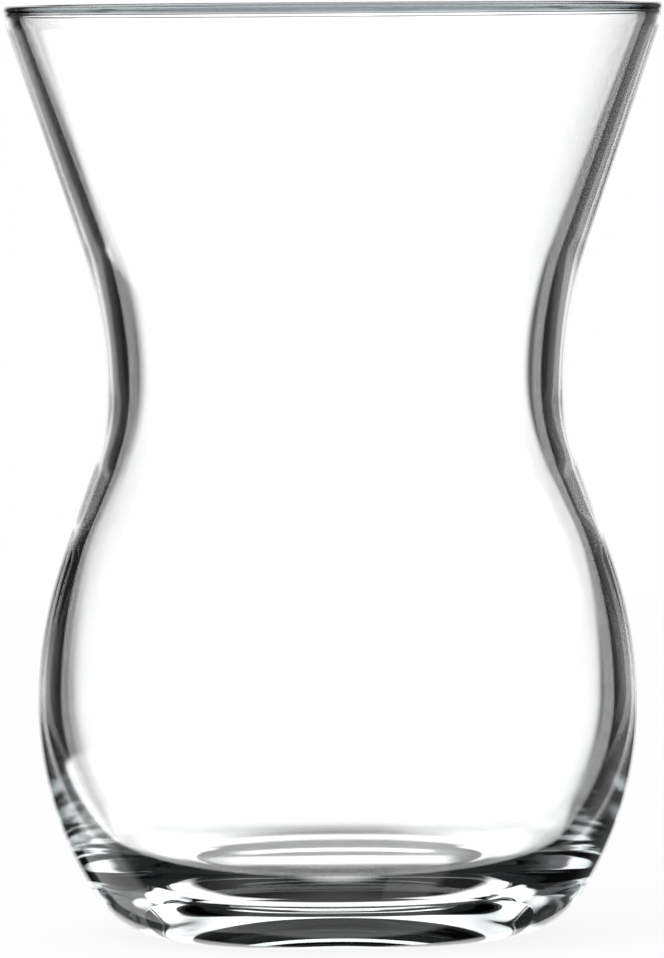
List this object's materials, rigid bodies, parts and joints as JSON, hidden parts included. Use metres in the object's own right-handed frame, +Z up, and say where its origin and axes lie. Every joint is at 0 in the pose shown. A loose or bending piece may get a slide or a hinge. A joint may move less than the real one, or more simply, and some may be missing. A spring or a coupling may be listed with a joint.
{
  "type": "turkish tea glass",
  "caption": "Clear waisted tea glass with a flared mouth, a full belly and a heavy base, standing empty.",
  "frame": {"origin": "centre of the foot, on the surface that the glass stands on", "axes": "+Z up along the glass's axis, from the foot to the mouth; a solid of revolution, so +X and +Y are any two square directions"},
  "size_m": [0.064, 0.064, 0.0906],
  "materials": {
    "glass": "clear, polished"
  },
  "bodies": {
    "root": {"glass": "glass"}
  },
  "joints": []
}
